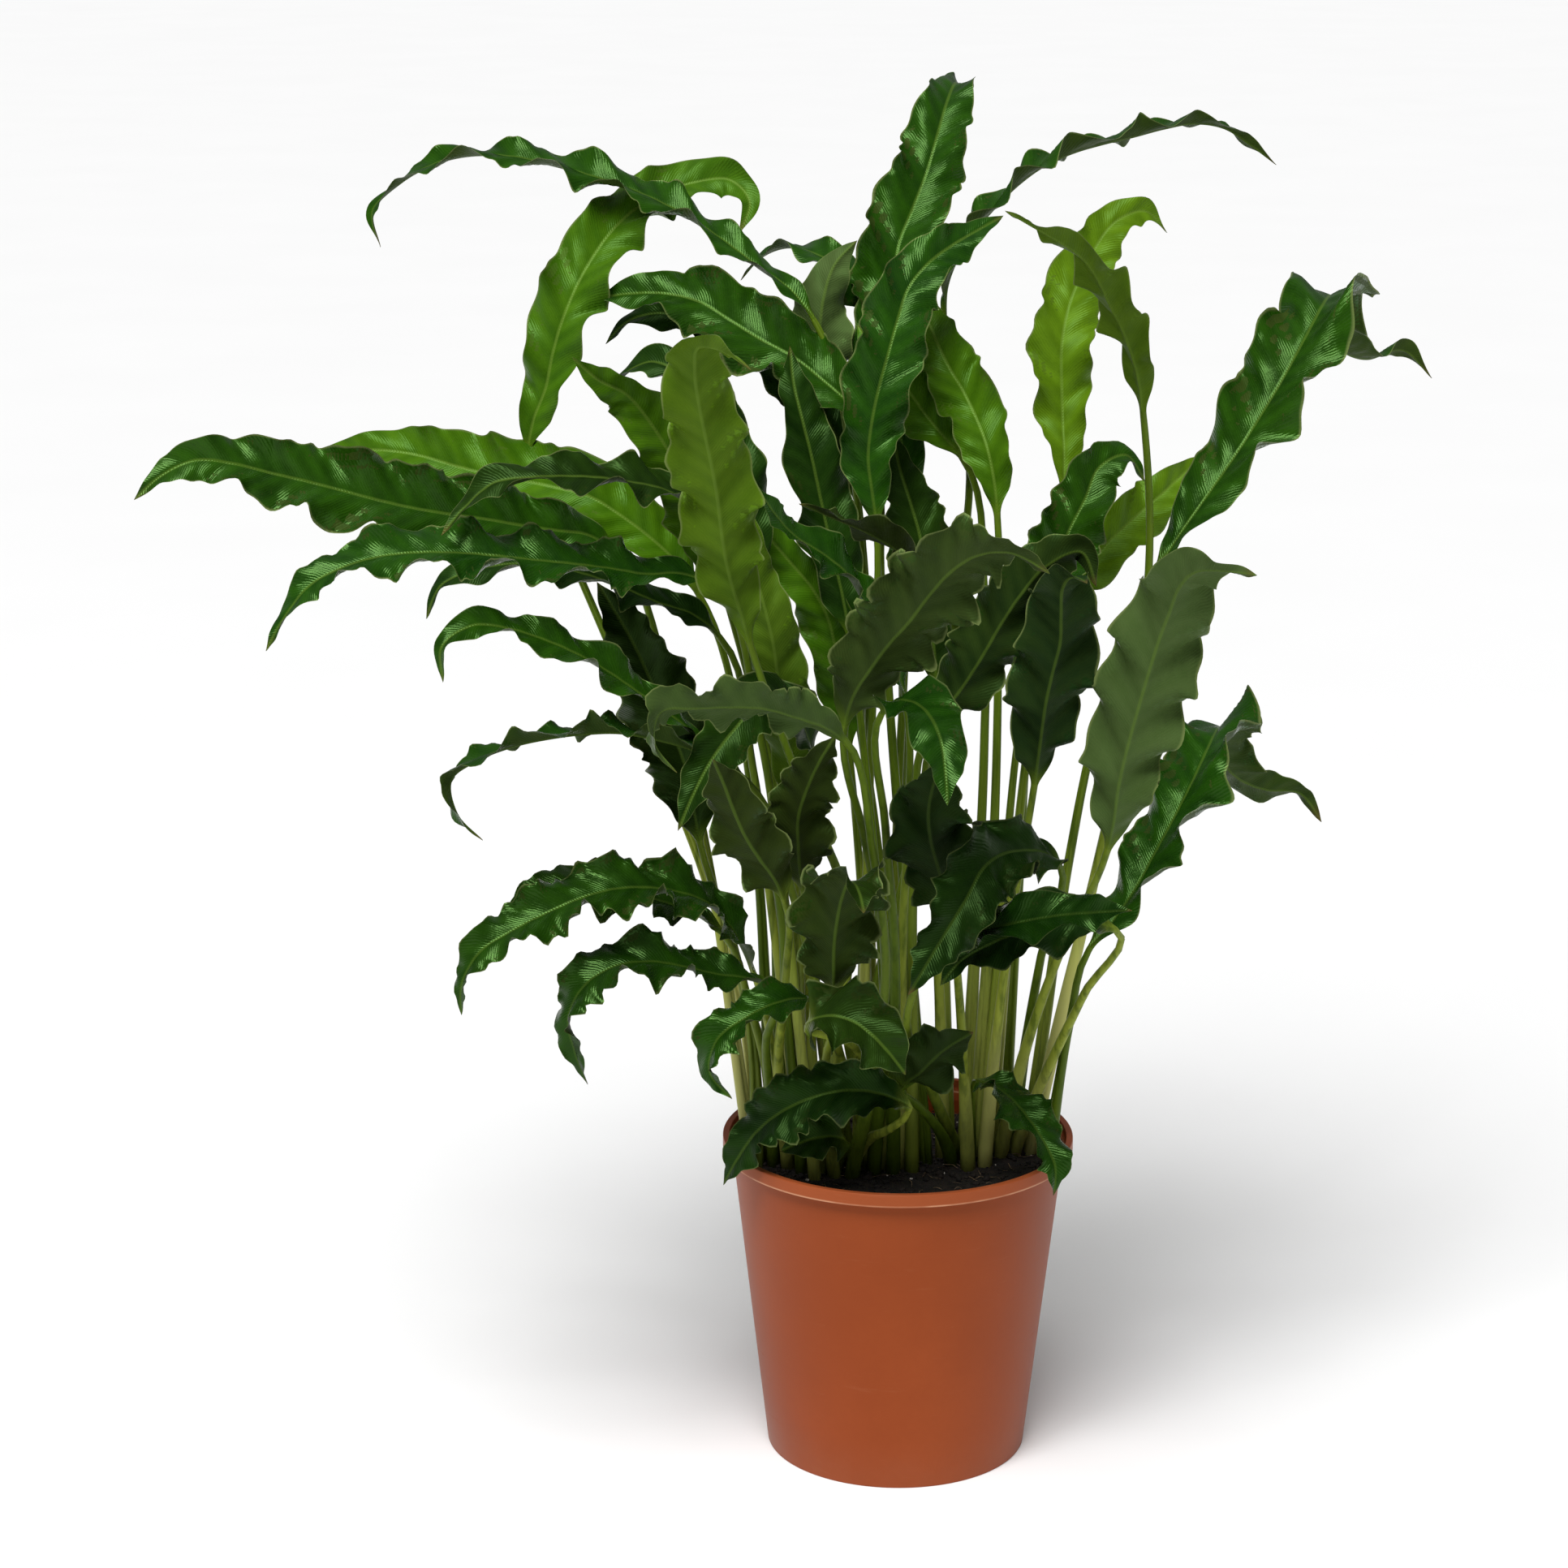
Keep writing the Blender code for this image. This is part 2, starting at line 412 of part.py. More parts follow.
class Leaf:
    """One leaf: a smooth line from the soil to the tip, and the bends that let it pass others."""

    def __init__(self, name, row, foot):
        _, self.tone, width, face, stalk, blade = row
        self.name = name
        self.half = width * CM / 2
        self.face = Vector(face).normalized()
        raised = Vector((0, 0, soil_top() - PLANTED_AT))
        blade = [Vector(p) * CM + raised for p in blade]
        stalk = [Vector(p) * CM + raised for p in stalk]
        foot = Vector((foot.x, foot.y, soil_top() + CLEARANCE))
        if not stalk:
            rise = blade[0] - foot
            stalk = [foot + Vector((rise.x * 0.40, rise.y * 0.40, rise.z * 0.52))]
        neck_at = len(stalk) + 1
        self.curve = smooth_path([foot, *stalk, *blade])
        self.marks = lengths(self.curve)
        self.neck = self.marks[neck_at * 12]
        self.length = self.marks[-1]
        self.bends = []
        stalk_parts = max(3, round(self.neck / STALK_STEP))
        blade_parts = min(14, max(6, round((self.length - self.neck) / BLADE_STEP)))
        self.stations = [self.neck * i / stalk_parts for i in range(stalk_parts)]
        self.stations += [
            self.neck + (self.length - self.neck) * i / blade_parts for i in range(blade_parts + 1)
        ]
        self.first_blade = stalk_parts

    def centres(self, bends):
        made = []
        for where in self.stations:
            point = at_length(self.curve, self.marks, where)
            grip = min(1, where / 0.05)
            for middle, reach, shift in bends:
                point = point + shift * (math.exp(-(((where - middle) / reach) ** 2)) * grip * grip)
            made.append(point)
        return made

    def frames(self, centres):
        """(tangent, normal) at each station. The normal follows the line without turning about it."""
        tangents = []
        for i in range(len(centres)):
            ahead = centres[min(i + 1, len(centres) - 1)] - centres[max(i - 1, 0)]
            tangents.append(ahead.normalized())
        middle = self.first_blade + (len(centres) - self.first_blade) // 2
        normals = [None] * len(centres)
        start = self.face - tangents[middle] * self.face.dot(tangents[middle])
        normals[middle] = start.normalized()
        for i in list(range(middle + 1, len(centres))):
            turn = tangents[i - 1].rotation_difference(tangents[i])
            normals[i] = turn @ normals[i - 1]
        for i in reversed(range(middle)):
            turn = tangents[i + 1].rotation_difference(tangents[i])
            normals[i] = turn @ normals[i + 1]
        return list(zip(tangents, normals))

    def rings(self, bends, extra=0.0):
        centres = self.centres(bends)
        made = []
        for i, (centre, (tangent, normal)) in enumerate(zip(centres, self.frames(centres))):
            side = tangent.cross(normal).normalized()
            if i < self.first_blade:
                if i == 0:
                    tangent, side = Vector((0, 0, 1)), Vector((side.x, side.y, 0)).normalized()
                    normal = side.cross(tangent)
                share = self.stations[i] / self.neck
                thick = STALK_RADIUS + (NECK_RADIUS - STALK_RADIUS) * min(1, share * 1.3) + extra
                wide = thick * (SHEATH if i == 0 else 1)
                made.append([
                    centre + side * (wide * math.cos(a)) + normal * (thick * math.sin(a))
                    for a in (0, math.pi / 3, math.pi * 2 / 3, math.pi, math.pi * 4 / 3, math.pi * 5 / 3)
                ])
                continue
            share = (self.stations[i] - self.neck) / (self.length - self.neck)
            half = max(self.half * outline(share), NECK_RADIUS) + extra
            wave = (1 if i % 2 else -1) * RUFFLE * half
            taper = 1 - 0.75 * share
            rib = min(MIDRIB_HALF * taper, half * 0.5) + extra
            top, keel = MIDRIB_TOP * taper + extra, MIDRIB_KEEL * taper + extra
            lift = math.sin(FOLD) * half
            reach = math.cos(FOLD) * half
            made.append([
                centre + side * reach + normal * (lift + wave),
                centre + side * rib + normal * top,
                centre - side * rib + normal * top,
                centre - side * reach + normal * (lift - wave),
                centre - side * rib * 0.5 - normal * keel,
                centre + side * rib * 0.5 - normal * keel,
            ])
        return made[:-1], centres[-1]

    def surface(self, bends, extra=0.0):
        """(points, faces) of the closed skin: six points at each station, drawn to one at the tip."""
        rings, tip = self.rings(bends, extra)
        points = [p for ring in rings for p in ring] + [tip]
        faces = [list(reversed(range(6)))]
        for i in range(len(rings) - 1):
            near, far = i * 6, i * 6 + 6
            for k in range(6):
                a, b = near + k, near + (k + 1) % 6
                c, d = far + (k + 1) % 6, far + k
                # The two quads beside an edge are split from the same edge point, so they never cross.
                faces += [[a, b, d], [b, c, d]] if k in (2, 5) else [[a, b, c], [a, c, d]]
        last = (len(rings) - 1) * 6
        faces += [[last + k, last + (k + 1) % 6, len(points) - 1] for k in range(6)]
        return points, faces


def triangles(faces):
    return [(f[0], f[i], f[i + 1]) for f in faces for i in range(1, len(f) - 1)]


# Small shoves, tried in turn when no single bend helps.
KICKS = [Vector(way) * 0.008 for way in ((0, 1, 0), (1, 0, 0), (0, -1, 0), (-1, 0, 0), (0, 0, 1))]
BEND_TRIES = 120


def touching(leaf, bends, others):
    """How many pairs of faces meet, and where along the leaf they do."""
    points, faces = leaf.surface(bends, CLEARANCE)
    tree = BVHTree.FromPolygons(points, triangles(faces), all_triangles=True)
    pairs = []
    for other in others:
        pairs += tree.overlap(other)
    if not pairs:
        return 0, None
    spots = [max(0, (index - 4)) // 12 for index, _ in pairs]
    last = len(leaf.stations) - 1
    places = sorted(leaf.stations[min(spot, last)] for spot in spots)
    return len(pairs), places[len(places) // 2]


def bend_clear(leaf, others):
    """Bends the leaf a little, forwards or backwards first, until it passes all the others."""
    for attempt in range(BEND_TRIES):
        count, where = touching(leaf, leaf.bends, others)
        if not count:
            return 0
        best = (count, None)
        for amount in (0.005, 0.009, 0.014, 0.020, 0.028, 0.038):
            for way in ((0, 1, 0), (0, -1, 0), (1, 0, 0), (-1, 0, 0), (0, 0, 1), (0, 0, -1)):
                for reach in (0.05, 0.11):
                    bend = (where, reach, Vector(way) * amount)
                    found, _ = touching(leaf, [*leaf.bends, bend], others)
                    if found < best[0]:
                        best = (found, bend)
            if best[0] == 0:
                break
        if best[1] is None:
            leaf.bends.append((where, 0.08, KICKS[attempt % len(KICKS)]))
            continue
        leaf.bends.append(best[1])
    return touching(leaf, leaf.bends, others)[0]


def tree_of(thing):
    bpy.context.view_layer.update()
    return BVHTree.FromObject(thing, bpy.context.evaluated_depsgraph_get())


def build_leaves(home, solids):
    laid = [tree_of(solid) for solid in solids]
    greens = {tone: material(f"leaf_{tone}", *looks) for tone, looks in TONES.items()}
    for number, (row, foot) in enumerate(zip(LEAVES, feet()), 1):
        leaf = Leaf(f"leaf_{number:02d}", row, foot)
        left = bend_clear(leaf, laid)
        if left:
            print(f"{leaf.name} still meets {left} faces")
        points, faces = leaf.surface(leaf.bends)
        laid.append(BVHTree.FromPolygons(points, triangles(faces), all_triangles=True))
        made = mesh_object(leaf.name, points, faces, home, greens[leaf.tone])
        skin = bmesh.new()
        skin.from_mesh(made.data)
        bmesh.ops.recalc_face_normals(skin, faces=skin.faces)
        skin.to_mesh(made.data)
        skin.free()
        made.data.shade_smooth()


def main():
    cleared()
    home = collection("potted_calathea")
    cutters = collection("cutters")
    cutters.hide_render = True
    pot = build_pot(home, cutters)
    soil = build_soil(home)
    build_leaves(home, [pot, soil])


main()
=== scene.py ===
"""The look of the potted calathea: leaves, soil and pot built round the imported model."""

import json
import math
import random

import bmesh
import bpy
import numpy as np
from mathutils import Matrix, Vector, noise


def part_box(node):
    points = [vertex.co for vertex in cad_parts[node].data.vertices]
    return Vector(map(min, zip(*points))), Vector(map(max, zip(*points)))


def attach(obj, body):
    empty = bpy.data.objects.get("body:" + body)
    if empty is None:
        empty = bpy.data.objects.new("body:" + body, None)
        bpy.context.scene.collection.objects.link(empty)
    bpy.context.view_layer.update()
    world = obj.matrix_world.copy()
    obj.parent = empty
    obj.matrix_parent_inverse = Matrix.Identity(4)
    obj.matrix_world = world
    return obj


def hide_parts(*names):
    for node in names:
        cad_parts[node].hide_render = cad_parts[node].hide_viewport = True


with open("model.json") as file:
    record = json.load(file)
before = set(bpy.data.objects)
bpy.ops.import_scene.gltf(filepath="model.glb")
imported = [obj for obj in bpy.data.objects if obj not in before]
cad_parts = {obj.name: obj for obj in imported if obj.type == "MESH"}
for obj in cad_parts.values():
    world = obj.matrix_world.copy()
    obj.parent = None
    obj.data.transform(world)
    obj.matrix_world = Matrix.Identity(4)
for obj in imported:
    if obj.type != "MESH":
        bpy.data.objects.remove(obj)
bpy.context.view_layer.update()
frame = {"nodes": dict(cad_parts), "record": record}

scene = bpy.context.scene

# ------------------------------------------------------------------ numbers
BLADE_STEP = 0.0020  # between two cross sections of a blade
STALK_STEP = 0.012
STALK_SUNK = 0.005  # how far the foot of a stalk runs on into the soil
# Where a cross section has its points, from the middle line (0) to the margin (1).
TOP_SHARES = (1.0, 0.94, 0.84, 0.72, 0.59, 0.46, 0.33, 0.2, 0.07)
UNDER_SHARES = (0.9, 0.68, 0.46, 0.26, 0.09)
THICK_MIDDLE, THICK_MARGIN = 0.00050, 0.00022
HALF_RUFFLE = 0.021  # along the blade, from a crest of the margin to the next hollow
VEIN_LEAN = 0.95  # how far a side vein runs towards the tip for each metre outwards
PLEAT_PITCH, PLEAT_DEPTH = 0.0125, 0.00065
FINE_PITCH = 0.0017  # between the fine veins that the colour and the relief show
RUFFLE_GAIN = 1.5
POINTED = 0.88  # 1 would bring the crests of the ruffles to sharp points

# Small waves of the margin: their pitch, and their depth as a share of the half width.
CRINKLE_PITCH, CRINKLE_DEPTH = 0.0140, 0.12
# How crisp the margins of a leaf are, where it isn't the common value: most on the old leaves.
COMMON_CRISP = 0.62
CRISP = {
    2: 0.4, 3: 1.0, 7: 1.0, 8: 1.0, 9: 1.0, 10: 0.4, 11: 0.7, 24: 0.4, 25: 0.4, 26: 0.4, 27: 0.4, 30: 0.4,
    31: 0.5, 34: 1.0, 35: 1.5, 36: 1.0, 37: 1.0, 38: 1.0, 39: 1.0, 40: 1.6, 41: 1.6, 42: 1.2, 44: 1.4,
    45: 1.6, 46: 1.2, 49: 1.5, 50: 1.5, 51: 1.5, 52: 1.6, 53: 1.3, 54: 1.6, 55: 1.6, 56: 1.6, 57: 1.6,
}

# Shift of a leaf's colour: below 0 bluer, above 0 browner.
HUES = {4: 0.1, 8: 0.3, 31: -0.2, 33: -0.6, 35: 0.6, 37: 0.7, 40: 0.2, 41: 0.6, 42: 0.7, 45: 0.3, 49: 0.3,
        50: 0.3, 51: 0.5, 53: 0.2, 54: 0.8}
# Painted shade: how much darker than its tone an old leaf deep in the clump is painted, for the shade the
# clump casts on it.
PAINTED_SHADE = {7: 0.2, 8: 0.3, 43: 0.35, 44: 0.6, 46: 0.55, 47: 0.4, 48: 0.7, 49: 0.25, 50: 0.3, 51: 0.5, 52: 0.35,
       54: 0.6, 55: 0.3, 57: 0.35}
# How cream the foot of a stalk is, where that stands out.
CREAM = {1: 1.0, 6: 0.9, 10: 1.0, 21: 0.9, 27: 1.0, 33: 0.9}
# Painted sheen: how much paler a leaf that lies flat to the light is painted, for the light it catches.
PAINTED_SHEEN = {31: 1.0, 19: 1.0, 40: 0.6, 35: 0.2}


# ------------------------------------------------------------------ node helpers
class Paint:
    """A material's node tree with short names for what it is built from."""

    def __init__(self, name):
        self.material = bpy.data.materials.new(name)
        self.material.use_nodes = True
        self.tree = self.material.node_tree
        self.shader = self.tree.nodes["Principled BSDF"]

    def put(self, value, socket):
        if isinstance(value, bpy.types.NodeSocket):
            self.tree.links.new(value, socket)
        elif isinstance(value, (tuple, list)) and len(value) == 3 and len(socket.default_value) == 4:
            socket.default_value = (*value, 1)
        else:
            socket.default_value = value

    def math(self, what, a, b=0.0, c=0.0, clamp=False):
        node = self.tree.nodes.new("ShaderNodeMath")
        node.operation, node.use_clamp = what, clamp
        for value, socket in zip((a, b, c), node.inputs):
            self.put(value, socket)
        return node.outputs[0]

    def mix(self, share, a, b):
        node = self.tree.nodes.new("ShaderNodeMix")
        node.data_type = "RGBA"
        self.put(share, node.inputs["Factor"])
        self.put(a, node.inputs[6])
        self.put(b, node.inputs[7])
        return node.outputs[2]

    def step(self, value, low, high, to_low=0.0, to_high=1.0):
        node = self.tree.nodes.new("ShaderNodeMapRange")
        node.interpolation_type = "SMOOTHSTEP"
        for amount, socket in zip((value, low, high, to_low, to_high), node.inputs):
            self.put(amount, socket)
        return node.outputs[0]

    def noise(self, scale, detail=3.0, rough=0.55, vector=None):
        node = self.tree.nodes.new("ShaderNodeTexNoise")
        node.inputs["Scale"].default_value = scale
        node.inputs["Detail"].default_value = detail
        node.inputs["Roughness"].default_value = rough
        self.put(vector or self.place(), node.inputs["Vector"])
        return node.outputs["Fac"]

    def cells(self, scale):
        node = self.tree.nodes.new("ShaderNodeTexVoronoi")
        node.inputs["Scale"].default_value = scale
        self.put(self.place(), node.inputs["Vector"])
        return node.outputs["Distance"]

    def place(self):
        node = self.tree.nodes.new("ShaderNodeTexCoord")
        return node.outputs["Object"]

    def stretched(self, x, y, z):
        node = self.tree.nodes.new("ShaderNodeMapping")
        node.inputs["Scale"].default_value = (x, y, z)
        self.put(self.place(), node.inputs["Vector"])
        return node.outputs["Vector"]

    def attribute(self, name):
        node = self.tree.nodes.new("ShaderNodeAttribute")
        node.attribute_name = name
        return node.outputs["Fac"]

    def bump(self, height, strength, distance):
        node = self.tree.nodes.new("ShaderNodeBump")
        node.inputs["Strength"].default_value = strength
        node.inputs["Distance"].default_value = distance
        self.put(height, node.inputs["Height"])
        self.put(node.outputs["Normal"], self.shader.inputs["Normal"])

    def height_above_floor(self):
        node = self.tree.nodes.new("ShaderNodeSeparateXYZ")
        self.put(self.place(), node.inputs[0])
        return node.outputs["Z"]


# ------------------------------------------------------------------ leaf materials
# For each tone: upper side dark and light, underside dark and light, roughness and shine of the upper side.
TONES = {
    "fresh": ((0.028, 0.088, 0.001), (0.068, 0.170, 0.004),
              (0.042, 0.105, 0.006), (0.080, 0.150, 0.014), 0.32, 0.24),
    "lime": ((0.060, 0.125, 0.002), (0.110, 0.215, 0.005),
             (0.055, 0.110, 0.004), (0.085, 0.155, 0.008), 0.38, 0.26),
    "dark": ((0.004, 0.027, 0.001), (0.018, 0.076, 0.002),
             (0.018, 0.038, 0.004), (0.040, 0.066, 0.010), 0.25, 0.34),
    "deep": ((0.003, 0.014, 0.001), (0.013, 0.040, 0.003),
             (0.007, 0.017, 0.002), (0.022, 0.040, 0.005), 0.34, 0.20),
}
MIDRIB, MARGIN = (0.12, 0.20, 0.025), (0.16, 0.20, 0.065)
STALK_GREEN, STALK_LIGHT, STALK_HIGH = (0.070, 0.125, 0.006), (0.44, 0.50, 0.065), (0.090, 0.150, 0.007)
SHEATH = (0.50, 0.50, 0.16)
# The colours of the painted sheen on leaves that lie flat to the light.
SHEEN_DARK, SHEEN_LIGHT = (0.058, 0.098, 0.024), (0.078, 0.124, 0.036)
# The colour of the painted shade deep in the clump.
PAINTED_SHADE_COLOUR = (0.0015, 0.007, 0.001)
BROWN, BLUE = (0.024, 0.026, 0.004), (0.006, 0.022, 0.010)


def stalk_colour(p):
    streak = p.noise(30, 3, 0.6, p.stretched(7, 7, 0.6))
    cream = p.attribute("cream")
    foot = p.mix(cream, STALK_GREEN, STALK_LIGHT)
    green = p.mix(p.step(p.height_above_floor(), 0.22, 0.47), foot, STALK_HIGH)
    green = p.mix(p.step(streak, 0.42, 0.70, 0.0, 0.7), green, (0.045, 0.085, 0.005))
    return p.mix(p.math("MULTIPLY", p.attribute("sheath"), p.math("POWER", cream, 2.0)), green, SHEATH)


def stalk_material():
    p = Paint("leaf_stalk_skin")
    p.put(stalk_colour(p), p.shader.inputs["Base Color"])
    grain = p.noise(90, 3, 0.6, p.stretched(6, 6, 0.4))
    p.put(p.math("MULTIPLY_ADD", grain, 0.15, 0.36), p.shader.inputs["Roughness"])
    p.bump(grain, 0.4, 0.0004)
    p.shader.inputs["Specular IOR Level"].default_value = 0.22
    p.shader.inputs["Specular Tint"].default_value = (0.9, 1.0, 0.5, 1)
    return p.material


def leaf_material(tone, upper_side):
    dark, light, under_dark, under_light, rough, shine = TONES[tone]
    p = Paint(f"leaf_{tone}_{'upper' if upper_side else 'under'}_skin")
    across, along = p.attribute("across"), p.attribute("along")
    out = p.math("ABSOLUTE", across)
    vein = p.math("SUBTRACT", along, p.math("MULTIPLY", out, VEIN_LEAN))
    wander = p.math("MULTIPLY", p.noise(70, 2), 0.004)
    vein = p.math("ADD", vein, wander)
    # Bands along the pleats painted lighter and darker: painted highlight and painted shade of their ridges
    # and hollows.
    painted_pleat_bands = p.math("SINE", p.math("MULTIPLY", vein, math.tau / PLEAT_PITCH))
    fine = p.math("SINE", p.math("MULTIPLY", vein, math.tau / FINE_PITCH))
    mottle, speckle = p.noise(38, 4), p.noise(420, 2)
    shade = p.math("MULTIPLY_ADD", mottle, 1.5, -0.25)
    shade = p.math("ADD", shade, p.math("MULTIPLY", painted_pleat_bands, 0.16))
    shade = p.math("ADD", shade, p.math("MULTIPLY", fine, 0.05))
    shade = p.math("ADD", shade, p.math("MULTIPLY_ADD", speckle, 0.25, -0.125), clamp=True)
    face = p.mix(shade, dark, light) if upper_side else p.mix(shade, under_dark, under_light)
    hue = p.attribute("hue")
    face = p.mix(p.math("MULTIPLY", p.math("MAXIMUM", hue, 0.0), 0.45), face, BROWN)
    face = p.mix(p.math("MULTIPLY", p.math("MAXIMUM", p.math("MULTIPLY", hue, -1.0), 0.0), 0.45), face, BLUE)
    # Painted sheen on leaves that lie flat to the light.
    sheen_colour = p.mix(shade, SHEEN_DARK, SHEEN_LIGHT)
    face = p.mix(p.math("MULTIPLY", p.attribute("pale"), 0.8), face, sheen_colour)
    rib = p.step(out, 0.0004, 0.0013, 1.0, 0.0)
    face = p.mix(p.math("MULTIPLY", rib, 0.55 if tone in ("fresh", "lime") else 0.34), face, MIDRIB)
    edge = p.step(p.attribute("edge"), 0.94, 0.99)
    face = p.mix(p.math("MULTIPLY", edge, 0.7), face, MARGIN)
    # Painted shade on leaves deep in the clump.
    face = p.mix(p.attribute("dim"), face, PAINTED_SHADE_COLOUR)
    old = p.math("MULTIPLY", p.step(p.attribute("share"), 0.955, 1.0), p.step(mottle, 0.35, 0.6))
    face = p.mix(p.math("MULTIPLY", old, 0.7), face, (0.10, 0.05, 0.02))
    p.put(p.mix(p.attribute("blade"), stalk_colour(p), face), p.shader.inputs["Base Color"])
    smoothest = (rough if upper_side else 0.5) - 0.08
    p.put(p.math("MULTIPLY_ADD", speckle, 0.16, smoothest), p.shader.inputs["Roughness"])
    relief = p.math("ADD", p.math("MULTIPLY", fine, 0.35), p.math("MULTIPLY", speckle, 0.8))
    relief = p.math("ADD", relief, p.math("MULTIPLY", p.noise(130, 2), 0.9))
    p.bump(relief, 0.35, 0.00035)
    p.shader.inputs["Specular IOR Level"].default_value = shine if upper_side else 0.15
    p.shader.inputs["Specular Tint"].default_value = (0.5, 1.0, 0.28, 1)
    return p.material


# ------------------------------------------------------------------ reading the frame's leaves
def unit(vectors):
    return vectors / np.linalg.norm(vectors, axis=-1, keepdims=True)


def along_sections(near, tip):
    """The vertices at each step away from the tip, or None if they don't come six at a time."""
    seen, layers = {tip}, [[tip]]
    while True:
        ahead = {n for v in layers[-1] for n in near[v]} - seen
        if not ahead:
            return layers
        if len(ahead) != 6:
            return None
        seen |= ahead
        layers.append(sorted(ahead))


def matched(last, layer, near, chosen=()):
    """The layer's six points in the same order round the leaf as those of the section before it."""
    if len(chosen) == 6:
        return chosen if chosen[0] in near[chosen[5]] else None
    for v in layer:
        if v in chosen or v not in near[last[len(chosen)]]:
            continue
        if chosen and v not in near[chosen[-1]]:
            continue
        found = matched(last, layer, near, (*chosen, v))
        if found:
            return found
    return None


def sections_of(node):
    """(sections, tip): six points at each station of the leaf from foot to tip.

    The first is the right margin, then two beside the midrib on the upper side, the left margin, and two
    beside the midrib below."""
    mesh = frame["nodes"][node].data
    points = np.array([v.co for v in mesh.vertices])
    whole = np.round(points * 1e5).astype(int)
    _, first, index = np.unique(whole, axis=0, return_index=True, return_inverse=True)
    index = index.reshape(-1)
    points = points[first]
    near = {}
    for face in mesh.polygons:
        corners = [int(index[v]) for v in face.vertices]
        for a in corners:
            near.setdefault(a, set()).update(c for c in corners if c != a)
    for tip in near:
        layers = along_sections(near, tip) if len(near[tip]) == 6 else None
        if layers:
            break
    ring = [layers[1][0]]
    while len(ring) < 6:
        ring.append(next(v for v in layers[1] if v in near[ring[-1]] and v not in ring))
    order = [tuple(ring)]
    for layer in layers[2:]:
        order.append(matched(order[-1], layer, near))
    rings = points[np.array(order[::-1])]
    wide = rings[len(rings) * 2 // 3]
    start = max(range(3), key=lambda j: np.linalg.norm(wide[j] - wide[j + 3]))
    rings = np.roll(rings, -start, axis=1)
    wide = rings[len(rings) * 2 // 3]
    if np.linalg.norm(wide[1] - wide[2]) < np.linalg.norm(wide[4] - wide[5]):
        rings = np.roll(rings, -3, axis=1)
    k = len(rings) * 2 // 3
    ahead = rings[k + 1].mean(0) - rings[k - 1].mean(0)
    upward = rings[k][1:3].mean(0) - rings[k][4:6].mean(0)
    if np.dot(np.cross(ahead, upward), rings[k][0] - rings[k][3]) < 0:
        rings = rings[:, [3, 2, 1, 0, 5, 4]]
    return rings, points[tip]


def spline(marks, values, at):
    """Values between the marks on a smooth curve through them."""
    values = np.asarray(values, float)
    flat = values.ndim == 1
    values = values[:, None] if flat else values
    gaps = np.diff(marks)
    rise = np.diff(values, axis=0) / gaps[:, None]
    slope = np.empty_like(values)
    slope[0], slope[-1] = rise[0], rise[-1]
    weigh = gaps[1:, None] + gaps[:-1, None]
    slope[1:-1] = (rise[:-1] * gaps[1:, None] + rise[1:] * gaps[:-1, None]) / weigh
    i = np.clip(np.searchsorted(marks, at, side="right") - 1, 0, len(gaps) - 1)
    t = ((at - marks[i]) / gaps[i])[:, None]
    h = gaps[i][:, None]
    made = (
        values[i] * (2 * t**3 - 3 * t**2 + 1)
        + values[i + 1] * (3 * t**2 - 2 * t**3)
        + slope[i] * h * (t**3 - 2 * t**2 + t)
        + slope[i + 1] * h * (t**3 - t**2)
    )
    return made[:, 0] if flat else made


def smooth(value, low, high):
    t = np.clip((value - low) / (high - low), 0, 1)
    return t * t * (3 - 2 * t)


